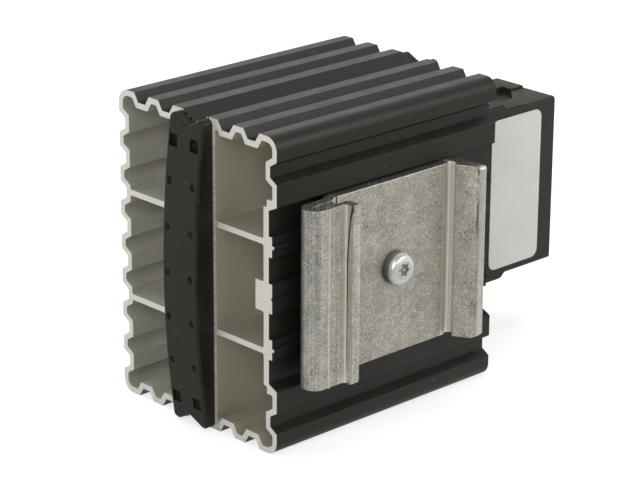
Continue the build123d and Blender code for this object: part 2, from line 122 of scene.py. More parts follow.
# Colours of the profile. A pair goes from one noise level, or depth, to the other.
ANODISED = (grey(26, 7, 1), grey(33, 8, 1))
ANODISED_TOP_SHEEN = grey(31, 3)
ANODISED_WORN_HIGHLIGHT = grey(96, 5)
ANODISED_DUST = grey(160, 4)
SEAT_BLACK = grey(27, 3)
STRIP_SHADE = grey(12, 3)
OLIVE = (grey(168, 12), grey(176, 12))
OLIVE_CLOUD = grey(166, 14)
OLIVE_INNER_LIGHT = grey(202, 12)
BROWN = (grey(160, 20, 4), grey(194, 19, 4))
BROWN_FLOOR_SHADE = grey(142, 12)
SAWN = (grey(218, 9, 1), grey(230, 9, 1))
SAWN_EDGE_HIGHLIGHT = grey(238, 8)
SLOT_DARK = grey(40, 4)
SLOT_WALL_DARK = grey(96, 6)

# Painted shade, in brown, on the corner on top of the hood
CORNER_X, CORNER_Y, CORNER_Z = (41.0, 46.5), (5.0, 8.0), (52.5, 54.5)
CORNER_SHADE = grey(15, 8, 5)
PLASTIC_RUB = grey(110, 3)
PLASTIC_DUST = grey(150, 3)

# Back face of the clip, front face of its plate, and the screw's place in X and Z
CLIP_BACK_Y = -0.02
HEAD_FOOT_Y = -0.0226
SCREW_PLACE = (-0.01615, 0.035)

# Parts of the clip along X. Heights are above its back face.
RELIEF_X, FLANK_X, RELIEF_TOP = (0.4, 1.36), (-1.6, 0.4), 3.2 * MM
FOOT_X, FOOT_HEIGHT = (-36.2, -35.3), (7.0, 7.95)
WALL_X, WALL_FOOT = (-35.5, -35.15), 7.95 * MM
RIM_X, RIM_FOOT = (2.8, 5.6), 8.7 * MM
WEB_X, WEB_FOOT, WEB_CLIMB = (1.2, 2.6), (3.0, 3.2), (3.2, 8.5)
SPRING_X, SPRING_SIDE_X, SPRING_STREAKS_X = (-33.0, -32.4), (-36.4, -36.0), (-34.0, -32.6)
NOSE_X = (2.6, 6.0)
BEND_X = (-43.4, -41.6)
CREST_X, CREST_Z, CREST_SIDE = (-33.0, 1.2), (54.48, 54.6), 0.5

# Painted shade: a dark line that climbs on the lip's wall, a broken line in the rim's corner,
# a shadow ring at the screw's head, and the groove at the slit's mouth
CREASE_SHADE_X, CREASE_SHADE_START_Z, CREASE_SHADE_CLIMB_Z = (-35.7, -34.9), (15.0, 22.0), (43.0, 54.5)
CREASE_SHADE_HEIGHT, CREASE_SHADE_CLIMB, CREASE_SHADE_CURVE = 7.95 * MM, 1.2 * MM, 1.5
CREASE_SHADE_WIDTH_Z, CREASE_SHADE_WIDTH = (20.0, 54.0), (0.1 * MM, 0.22 * MM)
RIM_SHADE_X, RIM_SHADE_FOOT, RIM_SHADE_Z = (2.52, 2.72), 8.5 * MM, (36.0, 44.0)
SHADOW_RING_REACH, SHADOW_RING_RIGHT = (3.5, 4.3), (-1.0, 2.5)
SLIT_X, SLIT_HEIGHT = (-33.78, -33.32), (2.3, 2.9)

# Painted highlight lines that run along the clip
RIDGE_X, RIDGE_FOOT = (-40.25, -39.95), 7.3 * MM
FOOT_LINE_X, FOOT_LINE_HEIGHT = (-35.66, -35.44), (7.4, 7.85)
LIP_LINE_X, LIP_LINE_FOOT = (-33.15, -32.6), 8.6 * MM
LIP_FRONT_X, LIP_FRONT_FOOT = (-34.9, -33.2), 8.9 * MM
GROOVE_X, GROOVE_TOP = (0.65, 0.9), 2.9 * MM
RIM_LINE_X = (2.8, 5.2)

# Nick across the ridge, which leans and thins out upwards
NICK_X, NICK_Z, NICK_FOOT = -39.95 * MM, (33.7, 37.7), 7.0 * MM
NICK_LEAN_Z, NICK_LEAN = (36.4, 37.7), 1.3 * MM
NICK_THIN_Z, NICK_WIDTH = (36.0, 36.6), (0.38 * MM, 0.13 * MM)

# Tints of the tumbled metal
TUMBLED = (grey(252, 15, 2), grey(244, 27, 2))
TUMBLED_PINK = (0.98, 0.89, 0.81, 1.0)
TUMBLED_BLUE = (0.88, 0.88, 0.91, 1.0)
TUMBLED_SMOOTH = grey(252, 11, 2)
TUMBLED_BRIGHT = grey(252, 5)
LEAST_LEVEL, MOST_LEVEL = 0.02, 0.97

# Shading of the screw's head: its wall in height above the plate, its recess and its rim
HEAD_WALL = (-1.95, -1.45)
RECESS_DEPTH, RECESS_REACH = (-2.95, -2.4), (1.9, 2.1)
HEAD_RIM = (1.75, 1.95)
ZINC = (0.93, 0.985, 0.95, 1.0)

# Shape of the screw: its head, shank and six-lobed recess, whose profile is pairs of a share
# of the recess' radius and a depth in millimetres
HEAD_HEIGHT = 3.1 * MM
WALL_HEIGHT = 1.55 * MM
DISC_RADIUS = 2.2 * MM
SHANK_RADIUS = 2.0 * MM
STAR_RADIUS = 1.46 * MM
STAR_WAVE = 0.26 * MM
STAR_LOBES, STAR_TURN = 6, 0.9
STAR_PROFILE = ((1.0, 0.0), (0.965, 0.1), (0.93, 1.0), (0.7, 1.15))
STAR_DEPTH = 1.4 * MM
FOOT_INSET, FOOT_RISE = 0.06 * MM, 0.08 * MM
SHOULDER_DROP, DISC_INSET, DISC_RISE = 0.12 * MM, 0.12 * MM, 0.06 * MM
DOME_STEPS, DOME_START, DOME_SWEEP, DOME_POWER = 8, 4, 86, 0.8
SCREW_SIDES = 96
SCREW_SHARP = math.radians(40)

# Rounded corners of the clip's nose and lip, in the XZ plane
OVERSHOOT = 1.0 * MM
CORNER_STEPS = 8
WELD = 0.001 * MM
NOSE_SPAN_Y = (-30.0 * MM, -26.0 * MM)
NOSE_LOW_RADIUS = 1.6 * MM
NOSE_HIGH_RADIUS = 0.8 * MM
LIP_SPAN_Y = (-30.0 * MM, -24.5 * MM)
LIP_END_X = -32.75 * MM
LIP_RADIUS = 0.7 * MM
CLIP_SHARP = math.radians(25)


class Tree:
    """The node tree of a material or world, with short calls for what is needed here."""

    def __init__(self, owner):
        self.owner = owner
        owner.use_nodes = True
        self.nodes = owner.node_tree.nodes
        self.links = owner.node_tree.links
        self.nodes.clear()
        self.places = self.add("ShaderNodeTexCoord").outputs
        self.place = self.places["Object"]
        self.stroke_place = self.place

    def add(self, kind, inputs=None, **settings):
        node = self.nodes.new(kind)
        for key, value in settings.items():
            setattr(node, key, value)
        for key, value in (inputs or {}).items():
            self.feed(node.inputs[key], value)
        return node

    def feed(self, socket, value):
        if isinstance(value, bpy.types.NodeSocket):
            self.links.new(value, socket)
        else:
            socket.default_value = value

    def math(self, operation, a, b=0.0, c=0.0):
        return self.add("ShaderNodeMath", {0: a, 1: b, 2: c}, operation=operation).outputs[0]

    def chain(self, operation, first, others):
        for other in others:
            first = self.math(operation, first, other)
        return first

    def times(self, first, *others):
        """Product of numbers, and of masks where all of them have to be 1."""
        return self.chain("MULTIPLY", first, others)

    def most(self, first, *others):
        """Greatest of numbers, and of masks where one of them has to be 1."""
        return self.chain("MAXIMUM", first, others)

    def total(self, first, *others):
        return self.chain("ADD", first, others)

    def above(self, value, limit):
        return self.math("GREATER_THAN", value, limit)

    def below(self, value, limit):
        return self.math("LESS_THAN", value, limit)

    def size(self, value):
        return self.math("ABSOLUTE", value)

    def less(self, a, b):
        return self.math("SUBTRACT", a, b)

    def vector(self, operation, a, b):
        return self.add("ShaderNodeVectorMath", {0: a, 1: b}, operation=operation).outputs[0]

    def dot(self, a, b):
        node = self.add("ShaderNodeVectorMath", {0: a, 1: b}, operation="DOT_PRODUCT")
        return node.outputs["Value"]

    def axes(self, vector):
        node = self.add("ShaderNodeSeparateXYZ", {0: vector})
        return node.outputs[0], node.outputs[1], node.outputs[2]

    def facing(self):
        """The axes of the flat face's normal."""
        return self.axes(self.add("ShaderNodeNewGeometry").outputs["True Normal"])

    def stretched(self, scale):
        """The place, scaled differently along each axis."""
        return self.vector("MULTIPLY", self.place, scale)

    def noise(self, scale, detail=3.0, roughness=0.55, vector=None, distortion=0.0):
        inputs = {
            "Vector": vector or self.place,
            "Scale": scale,
            "Detail": detail,
            "Roughness": roughness,
            "Distortion": distortion,
        }
        return self.add("ShaderNodeTexNoise", inputs).outputs["Fac"]

    def lines(self, scale, detail, roughness):
        """Noise that is drawn out along one axis."""
        return self.noise(1.0, detail, roughness, self.stretched(scale))

    def span(self, value, low, high, to_low=0.0, to_high=1.0, smooth=True):
        """Maps low..high to to_low..to_high, held at both ends."""
        inputs = {0: value, 1: low, 2: high, 3: to_low, 4: to_high}
        kind = "SMOOTHSTEP" if smooth else "LINEAR"
        return self.add("ShaderNodeMapRange", inputs, interpolation_type=kind).outputs[0]

    def ramp(self, value, reach, to_low=0.0, to_high=1.0, smooth=True):
        """As span, from one end of a reach to the other."""
        return self.span(value, reach[0] * MM, reach[1] * MM, to_low, to_high, smooth)

    def inside(self, value, reach, soft):
        """1 inside of a reach, fading out over soft, which is in millimetres too."""
        low, high = reach[0] * MM, reach[1] * MM
        rise = self.span(value, low - soft * MM, low)
        return self.times(rise, self.span(value, high, high + soft * MM, 1.0, 0.0))

    def spread(self, noise):
        """Noise spread to 0..1."""
        return self.span(noise, NOISE_LOW, NOISE_HIGH)

    def swing(self, noise, amount):
        """Noise spread to -amount..amount."""
        return self.span(noise, NOISE_LOW, NOISE_HIGH, -amount, amount, smooth=False)

    def blend(self, share, a, b):
        """Colour a where share is 0, colour b where it is 1."""
        node = self.add("ShaderNodeMix", {0: share, 6: a, 7: b}, data_type="RGBA")
        return node.outputs[2]

    def coat(self, colour, mask, over, share):
        """Colour with another over it where mask is 1, covering it by share."""
        return self.blend(self.times(mask, share), colour, over)

    def mix(self, share, a, b):
        """Number a where share is 0, number b where it is 1."""
        return self.add("ShaderNodeMix", {0: share, 2: a, 3: b}, data_type="FLOAT").outputs[0]

    def scratches(self, across, along, turn, bend, thin):
        """Short slightly curved strokes in one direction of the XZ plane, 1 on a stroke."""
        turned = self.add(
            "ShaderNodeVectorRotate",
            {"Vector": self.stroke_place, "Angle": turn},
            rotation_type="Y_AXIS",
        ).outputs[0]
        bent = self.add("ShaderNodeTexNoise", {"Vector": turned, "Scale": along, "Detail": 1.0})
        shift = self.add(
            "ShaderNodeVectorMath",
            {0: bent.outputs["Color"], "Scale": bend / along},
            operation="SCALE",
        ).outputs[0]
        moved = self.vector("ADD", turned, shift)
        drawn = self.vector("MULTIPLY", moved, (along, across, across))
        return self.span(self.noise(1.0, 1.0, 0.5, drawn), thin, thin + STROKE_EDGE)

    def all_scratches(self, across, along, count, thin, bend=0.25):
        """Strokes in several directions, laid over each other."""
        layers = []
        for number in range(count):
            wide = across * (1 + STROKE_WIDER * number)
            long = along * (1 - STROKE_SHORTER * number)
            turn = STROKE_TURN + STROKE_STEP * number
            layers.append(self.scratches(wide, long, turn, bend, thin))
        return self.most(*layers)

    def rounded(self, radius):
        """The normal as if the edges were rounded by that radius."""
        return self.add("ShaderNodeBevel", {"Radius": radius}, samples=BEVEL_SAMPLES).outputs[0]

    def edges(self, radius):
        """1 on edges, 0 away from them."""
        true = self.add("ShaderNodeNewGeometry").outputs["Normal"]
        return self.span(self.dot(self.rounded(radius), true), *EDGE_MATCH, 1.0, 0.0)

    def bump(self, height, distance, strength, radius=None):
        """Normal with that relief, over edges rounded by radius."""
        inputs = {"Height": height, "Distance": distance, "Strength": strength}
        if radius is not None:
            inputs["Normal"] = self.rounded(radius)
        return self.add("ShaderNodeBump", inputs).outputs[0]

    def finish(self, **inputs):
        """Principled shader with these inputs, named with _ for a space."""
        named = {key.replace("_", " "): value for key, value in inputs.items()}
        shader = self.add("ShaderNodeBsdfPrincipled", named)
        self.add("ShaderNodeOutputMaterial", {0: shader.outputs[0]})
        return self.owner


def material_tree(name):
    return Tree(bpy.data.materials.new(name))


def slot_marks(tree, x, y, z):
    """The slot on the near end, painted on the cut face: dark over it, speckled on its wall."""
    near_end = tree.below(x, 0.0)
    speckle = tree.noise(1500.0, 3.0, 0.7)
    over_slot = tree.times(
        near_end,
        tree.inside(y, OVER_SLOT_Y, 0.2),
        tree.above(z, OVER_SLOT_Z),
        tree.span(speckle, 0.56, 0.6, 1.0, 0.25),
    )
    slot_wall = tree.times(
        near_end,
        tree.inside(y, SLOT_WALL_Y, 0.1),
        tree.ramp(z, SLOT_WALL_Z, 1.0, 0.0),
        tree.span(speckle, 0.38, 0.6, 0.5, 0.05),
    )
    return over_slot, slot_wall


def profile_zones(tree, y, z):
    """Masks of the profile's outside and of the seat in it, and how deep x is in a chamber."""
    _, ny, nz = tree.facing()
    off_y = tree.less(y, PROFILE_MIDDLE[1])
    off_z = tree.less(z, PROFILE_MIDDLE[2])
    deep_y = tree.less(PROFILE_HALF[1], tree.size(off_y))
    deep_z = tree.less(PROFILE_HALF[2], tree.size(off_z))
    out_y = tree.times(ny, tree.math("SIGN", off_y))
    out_z = tree.times(nz, tree.math("SIGN", off_z))
    outward = tree.mix(tree.below(deep_y, deep_z), out_z, out_y)
    shallow = tree.below(tree.math("MINIMUM", deep_y, deep_z), RIB_ZONE)
    seat = tree.times(
        tree.below(tree.total(off_y, PROFILE_HALF[1]), RIB_ZONE),
        tree.below(tree.size(off_z), SEAT_HALF_HEIGHT),
    )
    return tree.most(tree.times(shallow, tree.above(outward, FACING_OUT)), seat), seat


def profile_material():
    """Extrusion: black anodised outside, saw-cut ends, olive-grey air chambers."""
    tree = material_tree("profile_finish")
    x, y, z = tree.axes(tree.place)
    nx, _, nz = tree.facing()
    outside, seat = profile_zones(tree, y, z)
    cut = tree.above(tree.size(nx), CUT_FACE)

    # Die lines run along the extrusion, saw lines across its ends
    lines = tree.lines((6.0, 3200.0, 3200.0), 4.0, 0.6)
    sawn = tree.lines((900.0, 500.0, 9000.0), 3.0, 0.65)
    fine = tree.noise(9000.0, 2.0, 0.6)
    cloud = tree.noise(160.0, 4.0, 0.6)
    specks = tree.span(tree.noise(1900.0, 1.0, 0.4), 0.775, 0.81)
    worn_and_highlit = tree.times(tree.edges(0.12 * MM), tree.span(cloud, 0.35, 0.7, 0.15, 1.0))

    # The seat behind the clip is a more neutral black, and its strips are rubbed dull and painted
    # darker as shade behind the clip
    strip_top = tree.times(seat, tree.below(y, STRIP_TOPS_Y))
    black = tree.blend(tree.spread(lines), *ANODISED)
    # Faces turned up get a more neutral black, a painted sheen from the surround
    black = tree.blend(tree.span(nz, 0.2, 0.9, 0.0, 0.7), black, ANODISED_TOP_SHEEN)
    # Edges are paler, from wear and from a painted edge highlight
    black = tree.coat(black, worn_and_highlit, ANODISED_WORN_HIGHLIGHT, 0.3)
    black = tree.coat(black, specks, ANODISED_DUST, 0.42)
    black = tree.coat(black, seat, SEAT_BLACK, 0.7)
    black = tree.coat(black, strip_top, STRIP_SHADE, 0.6)

    # The chambers get painted light further in, and are browner on the clip's side, where their
    # floors get painted shade
    deep_x = tree.less(PROFILE_HALF[0], tree.size(tree.less(x, PROFILE_MIDDLE[0])))
    inner_light = tree.ramp(deep_x, CHAMBER_REACH)
    clip_side = tree.ramp(y, CLIP_SIDE_Y, 1.0, 0.0)
    olive = tree.blend(tree.spread(lines), *OLIVE)
    olive = tree.blend(tree.span(cloud, 0.35, 0.75), olive, OLIVE_CLOUD)
    olive = tree.coat(olive, inner_light, OLIVE_INNER_LIGHT, 0.85)
    olive = tree.coat(olive, clip_side, tree.blend(inner_light, *BROWN), 0.8)
    shaded_floors = tree.times(clip_side, tree.span(nz, 0.3, 0.8, 0.0, 0.55))
    olive = tree.blend(shaded_floors, olive, BROWN_FLOOR_SHADE)

    over_slot, slot_wall = slot_marks(tree, x, y, z)
    bare = tree.blend(tree.spread(sawn), *SAWN)
    # The cut face's edges are painted paler as a highlight
    bare = tree.coat(bare, tree.edges(0.07 * MM), SAWN_EDGE_HIGHLIGHT, 0.4)
    bare = tree.blend(over_slot, bare, SLOT_DARK)
    bare = tree.blend(slot_wall, bare, SLOT_WALL_DARK)

    black_rough = tree.mix(strip_top, tree.span(cloud, 0.2, 0.8, 0.36, 0.46), 0.62)
    height = tree.math("MULTIPLY_ADD", lines, 0.7, tree.times(fine, 0.3))
    height = tree.times(height, tree.mix(outside, 0.35, 1.0))
    return tree.finish(
        Base_Color=tree.blend(cut, tree.blend(outside, olive, black), bare),
        Metallic=tree.mix(cut, tree.mix(outside, 0.2, 0.0), 0.4),
        Roughness=tree.mix(cut, tree.mix(outside, 0.62, black_rough), 0.45),
        Specular_IOR_Level=0.45,
        Normal=tree.bump(tree.mix(cut, height, sawn), 0.012 * MM, 0.6, radius=0.1 * MM),
    )


def hood_corner_shade(tree):
    """Mask of the painted shade on the top of the hood next to the profile."""
    x, y, z = tree.axes(tree.place)
    _, _, nz = tree.facing()
    return tree.times(
        tree.span(nz, 0.5, 0.8),
        tree.ramp(x, CORNER_X, 0.85, 0.0),
        tree.ramp(z, CORNER_Z),
        tree.ramp(y, CORNER_Y, 1.0, 0.0),
    )


def plastic_material(name, level, red, rough, grain, radius, shaded_hood=False):
    """Moulded black plastic with a fine spark-eroded grain, dust, edges paler from wear and from
    a painted highlight, and painted shade at the hood's corner.
    """
    tree = material_tree(name)
    skin = tree.noise(grain, 3.0, 0.65)
    cloud = tree.noise(140.0, 4.0, 0.6)
    specks = tree.span(tree.noise(1700.0, 1.0, 0.4), 0.76, 0.8)
    rubs = tree.all_scratches(3000.0, 300.0, 2, 0.7)
    worn_and_highlit = tree.times(tree.edges(radius * 1.2), tree.span(cloud, 0.35, 0.75, 0.1, 1.0))
    colour = tree.blend(tree.spread(cloud), grey(level - 2, 8, red), grey(level + 3, 8, red))
    # The hood's corner next to the profile gets painted shade
    if shaded_hood:
        colour = tree.blend(hood_corner_shade(tree), colour, CORNER_SHADE)
    # Edges are paler, from wear and from a painted edge highlight
    colour = tree.coat(colour, worn_and_highlit, grey(level + 50, 4), 0.25)
    colour = tree.coat(colour, rubs, PLASTIC_RUB, 0.06)
    colour = tree.coat(colour, specks, PLASTIC_DUST, 0.38)
    return tree.finish(
        Base_Color=colour,
        Roughness=tree.span(cloud, 0.25, 0.75, *rough),
        Specular_IOR_Level=0.36,
        Normal=tree.bump(skin, 0.015 * MM, 0.55, radius),
    )


def screw_distance(tree, x, z):
    """Distance from the clip screw's axis, and how far right of it."""
    off_x = tree.less(x, SCREW_PLACE[0])
    off_z = tree.less(z, SCREW_PLACE[1])
    squares = tree.total(tree.times(off_x, off_x), tree.times(off_z, off_z))
    return tree.math("SQRT", squares), off_x


def clip_shade(tree, x, height, z):
    """Painted shade on the clip: a dark line on the lip's wall, a broken line in its rim's
    corner, a shadow ring at its screw, and its slit.
    """
    climb = tree.math("POWER", tree.ramp(z, CREASE_SHADE_CLIMB_Z, smooth=False), CREASE_SHADE_CURVE)
    crease_shade_height = tree.math("MULTIPLY_ADD", climb, CREASE_SHADE_CLIMB, CREASE_SHADE_HEIGHT)
    crease_shade_width = tree.ramp(z, CREASE_SHADE_WIDTH_Z, *CREASE_SHADE_WIDTH, smooth=False)
    crease_shade = tree.times(
        tree.below(tree.size(tree.less(height, crease_shade_height)), crease_shade_width),
        tree.inside(x, CREASE_SHADE_X, 0.05),
        tree.ramp(z, CREASE_SHADE_START_Z),
    )
    rim_shade = tree.times(
        tree.inside(x, RIM_SHADE_X, 0.05),
        tree.above(height, RIM_SHADE_FOOT),
        tree.span(tree.lines((400.0, 400.0, 160.0), 2.0, 0.6), 0.47, 0.52),
        tree.ramp(z, RIM_SHADE_Z),
    )
    away, right = screw_distance(tree, x, z)
    shadow_ring = tree.times(
        tree.ramp(away, SHADOW_RING_REACH, 0.62, 0.0),
        tree.ramp(right, SHADOW_RING_RIGHT, 1.0, 0.2),
    )
    slit = tree.times(tree.inside(x, SLIT_X, 0.06), tree.inside(height, SLIT_HEIGHT, 0.1))
    return tree.most(crease_shade, tree.times(rim_shade, 0.8), shadow_ring, slit)


def clip_lines(tree, x, height, z):
    """Painted highlight lines that run along the clip, a brighter lip front and a nick across the
    ridge, 1 on a line.
    """
    ridge = tree.times(tree.inside(x, RIDGE_X, 0.08), tree.above(height, RIDGE_FOOT))
    foot = tree.times(
        tree.inside(x, FOOT_LINE_X, 0.05), tree.inside(height, FOOT_LINE_HEIGHT, 0.05)
    )
    lip = tree.times(tree.inside(x, LIP_LINE_X, 0.1), tree.above(height, LIP_LINE_FOOT))
    groove = tree.times(tree.inside(x, GROOVE_X, 0.05), tree.below(height, GROOVE_TOP))
    rim = tree.times(tree.inside(x, RIM_LINE_X, 0.1), tree.above(height, RIM_FOOT))
    front = tree.times(tree.inside(x, LIP_FRONT_X, 0.2), tree.above(height, LIP_FRONT_FOOT))
    lean = tree.ramp(z, NICK_LEAN_Z, 0.0, NICK_LEAN, smooth=False)
    nick_gap = tree.size(tree.less(tree.less(x, NICK_X), lean))
    nick = tree.times(
        tree.below(nick_gap, tree.ramp(z, NICK_THIN_Z, *NICK_WIDTH)),
        tree.inside(z, NICK_Z, 0.1),
        tree.above(height, NICK_FOOT),
    )
    return tree.most(
        tree.times(ridge, 0.8),
        foot,
        tree.times(nick, 0.75),
        tree.times(lip, 0.6),
        groove,
        tree.times(front, 0.2),
        tree.times(rim, 0.35),
    )


def tumbled_material():
    """Extruded aluminium after tumbling: mottled, with short strokes, pits and die lines, and
    with painted highlights and painted shade.
    """
    tree = material_tree("tumbled_aluminium")
    x, y, z = tree.axes(tree.place)
    _, _, nz = tree.facing()
    cut = tree.above(tree.size(nz), CUT_FACE)
    height = tree.less(CLIP_BACK_Y, y)

    # Strokes lie on the clip unfolded, so that they aren't drawn out on its webs
    unfolded = {0: tree.total(x, height), 1: 0.0, 2: z}
    tree.stroke_place = tree.add("ShaderNodeCombineXYZ", unfolded).outputs[0]

    broad = tree.noise(330.0, 3.0, 0.6)
    patches = tree.span(tree.noise(240.0, 3.0, 0.65, distortion=1.0), 0.4, 0.6, 0.3, 1.0)
    mottle = tree.noise(1000.0, 5.0, 0.75, distortion=1.8)
    grain = tree.noise(3600.0, 3.0, 0.75)
    pits = tree.span(tree.noise(2300.0, 2.0, 0.6), 0.37, 0.28)
    bright = tree.times(tree.all_scratches(4600.0, 650.0, 5, 0.66, bend=0.8), patches)
    dark = tree.times(tree.all_scratches(4000.0, 900.0, 3, 0.66, bend=0.8), patches)
    lines = tree.lines((1000.0, 1000.0, 7.0), 5.0, 0.75)

    # The tumbling was weak in the relief at the nose, on its flank and at the lip's foot; these
    # also get painted light, and the lip's wall a touch of painted shade
    relief = tree.times(tree.inside(x, RELIEF_X, 0.1), tree.below(height, RELIEF_TOP))
    flank = tree.times(tree.inside(x, FLANK_X, 0.15), tree.below(height, RELIEF_TOP))
    foot = tree.times(tree.inside(x, FOOT_X, 0.2), tree.inside(height, FOOT_HEIGHT, 0.1))
    wall = tree.times(tree.inside(x, WALL_X, 0.1), tree.above(height, WALL_FOOT))
    rim = tree.times(tree.inside(x, RIM_X, 0.1), tree.above(height, RIM_FOOT))
    smooth = tree.most(relief, foot, wall, flank, tree.times(rim, 0.55))
    lit_relief_and_foot = tree.most(relief, tree.times(foot, 0.3))

    # It was strong on the nose's web and on the spring, and the plate's top edge gets a painted
    # highlight
    web = tree.times(tree.inside(x, WEB_X, 0.1), tree.ramp(height, WEB_FOOT))
    lively = tree.most(web, tree.ramp(x, SPRING_X, 1.0, 0.0))
    contrast = tree.total(tree.less(1.0, tree.times(smooth, 0.8)), tree.times(lively, 0.4))
    crest_highlight = tree.times(
        tree.inside(x, CREST_X, 0.2), tree.ramp(z, CREST_Z), tree.below(nz, CREST_SIDE)
    )
    streaked = tree.most(
        tree.ramp(x, SPRING_STREAKS_X, 1.0, 0.12), smooth, tree.inside(x, NOSE_X, 0.2)
    )
    highlights_and_nick = clip_lines(tree, x, height, z)
    painted_shade = clip_shade(tree, x, height, z)

    spots = tree.total(
        tree.swing(mottle, 0.14),
        tree.swing(grain, 0.17),
        tree.swing(broad, 0.09),
        tree.times(bright, 0.75),
        tree.times(dark, -0.26),
        tree.times(pits, -0.26),
    )
    level = tree.total(
        0.55,
        tree.times(spots, contrast),
        tree.ramp(x, SPRING_SIDE_X, 0.03, 0.0),
        tree.ramp(x, SPRING_X, 0.05, 0.0),
        # Painted shade at the foot of the nose's web, turning to painted light up it
        tree.times(web, tree.ramp(height, WEB_CLIMB, -0.09, 0.04, smooth=False)),
        tree.times(tree.swing(lines, 0.22), streaked),
        # Painted light on the flank, painted edge highlights, the painted highlight lines with
        # the nick, painted light on the relief and the lip's foot, painted shade on the lip's
        # wall, and a painted highlight on the crest
        tree.times(flank, 0.24),
        tree.times(tree.edges(0.2 * MM), 0.2),
        tree.times(highlights_and_nick, 0.4),
        tree.times(lit_relief_and_foot, 0.16),
        tree.times(wall, -0.02),
        tree.times(crest_highlight, 0.32),
    )
    # Painted shade darkens the clip, and its cut ends are darker
    level = tree.times(level, tree.mix(painted_shade, 1.0, 0.16), tree.mix(cut, 1.0, 0.46))
    level = tree.math("MINIMUM", tree.most(level, LEAST_LEVEL), MOST_LEVEL)

    tint = tree.blend(tree.span(tree.noise(700.0, 2.0, 0.5), 0.55, 0.72), *TUMBLED)
    pink = tree.span(tree.noise(480.0, 3.0, 0.6), 0.56, 0.74)
    blue = tree.times(tree.ramp(x, BEND_X, 1.0, 0.0), tree.span(mottle, 0.5, 0.6))
    tint = tree.blend(pink, tint, TUMBLED_PINK)
    tint = tree.coat(tint, blue, TUMBLED_BLUE, 0.7)
    tint = tree.blend(tree.most(relief, flank), tint, TUMBLED_SMOOTH)
    tint = tree.blend(tree.most(bright, crest_highlight), tint, TUMBLED_BRIGHT)

    rough = tree.total(0.46, tree.swing(mottle, 0.07), tree.times(bright, -0.12))
    relief_map = tree.total(
        tree.times(mottle, 0.5),
        tree.times(grain, 0.35),
        tree.times(lines, 0.3),
        tree.times(bright, -0.25),
    )
    return tree.finish(
        Base_Color=tree.blend(level, BLACK, tint),
        Metallic=tree.mix(lit_relief_and_foot, 0.85, 0.45),
        Roughness=tree.mix(tree.most(smooth, highlights_and_nick), rough, 0.36),
        Normal=tree.bump(relief_map, 0.03 * MM, 0.8, radius=0.16 * MM),
    )


def zinc_material(name, screw_head):
    """Zinc plating with a faint green tint and small dents; a screw head has a duller wall, and
    painted shade on that wall, in its recess and in a ring round the recess.
    """
    tree = material_tree(name)
    cloud = tree.noise(420.0, 4.0, 0.6)
    dents = tree.noise(2600.0, 3.0, 0.6)
    marks = tree.all_scratches(8000.0, 1500.0, 2, 0.68)
    level = tree.total(
        0.96, tree.swing(cloud, 0.05), tree.swing(dents, 0.04), tree.times(marks, -0.12)
    )
    rough = tree.span(cloud, 0.25, 0.75, 0.33, 0.4)
    if screw_head:
        x, y, z = tree.axes(tree.place)
        away, _ = screw_distance(tree, x, z)
        wall = tree.span(y, *[HEAD_FOOT_Y + edge * MM for edge in HEAD_WALL])
        deep = tree.times(
            tree.span(y, *[HEAD_FOOT_Y + edge * MM for edge in RECESS_DEPTH]),
            tree.ramp(away, RECESS_REACH, 1.0, 0.0),
        )
        rim = tree.inside(away, HEAD_RIM, 0.12)
        for mask, shaded in ((wall, 0.24), (deep, 0.45), (rim, 0.78)):
            level = tree.times(level, tree.mix(mask, 1.0, shaded))
        rough = tree.total(rough, tree.times(wall, 0.1))
    return tree.finish(
        Base_Color=tree.blend(level, BLACK, ZINC),
        Metallic=0.8,
        Roughness=rough,
        Normal=tree.bump(dents, 0.012 * MM, 0.5, radius=0.12 * MM),
    )


def label_material():
    """Silver-grey satin foil with a fine tooth and a paler edge, which is a painted highlight."""
    tree = material_tree("label_foil")
    tooth = tree.noise(5200.0, 3.0, 0.6)
    cloud = tree.noise(110.0, 3.0, 0.5)
    colour = tree.blend(tree.spread(cloud), grey(206, 6), grey(210, 6))
    return tree.finish(
        Base_Color=tree.coat(colour, tree.edges(0.1 * MM), grey(226, 4), 0.4),
        Metallic=0.1,
        Roughness=tree.span(cloud, 0.25, 0.75, 0.42, 0.52),
        Normal=tree.bump(tooth, 0.008 * MM, 0.4),
    )


def sheet_material(name, level, warm, rough):
    """Rolled strip metal with lines along X and a stamped edge painted paler as a highlight."""
    tree = material_tree(name)
    lines = tree.lines((40.0, 6000.0, 6000.0), 3.0, 0.6)
    cloud = tree.noise(300.0, 4.0, 0.6)
    colour = tree.blend(tree.spread(lines), grey(level - 12, warm), grey(level + 10, warm))
    return tree.finish(
        Base_Color=tree.coat(colour, tree.edges(0.08 * MM), grey(232, warm / 2), 0.4),
        Metallic=1.0,
        Roughness=tree.span(cloud, 0.25, 0.75, *rough),
        Normal=tree.bump(lines, 0.01 * MM, 0.5, radius=0.06 * MM),
    )


def mineral_material(name, level, warm, grain, rough):
    """Pressed or fired mineral: fine grain with darker crumbs."""
    tree = material_tree(name)
    grains = tree.noise(grain, 4.0, 0.7)
    crumbs = tree.span(tree.noise(grain * 0.45, 2.0, 0.5), 0.3, 0.22)
    colour = tree.blend(tree.spread(grains), grey(level - 8, warm), grey(level + 8, warm))
    return tree.finish(
        Base_Color=tree.coat(colour, crumbs, grey(level - 50, warm), 0.5),
        Roughness=tree.span(grains, NOISE_LOW, NOISE_HIGH, rough, rough + 0.1),
        Normal=tree.bump(grains, 0.02 * MM, 0.6, radius=0.1 * MM),
    )


def dress(material, *names):
    for name in names:
        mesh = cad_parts[name].data
        mesh.materials.clear()
        mesh.materials.append(material)


def add_object(name, data):
    thing = bpy.data.objects.new(name, data)
    bpy.context.scene.collection.objects.link(thing)
    return thing


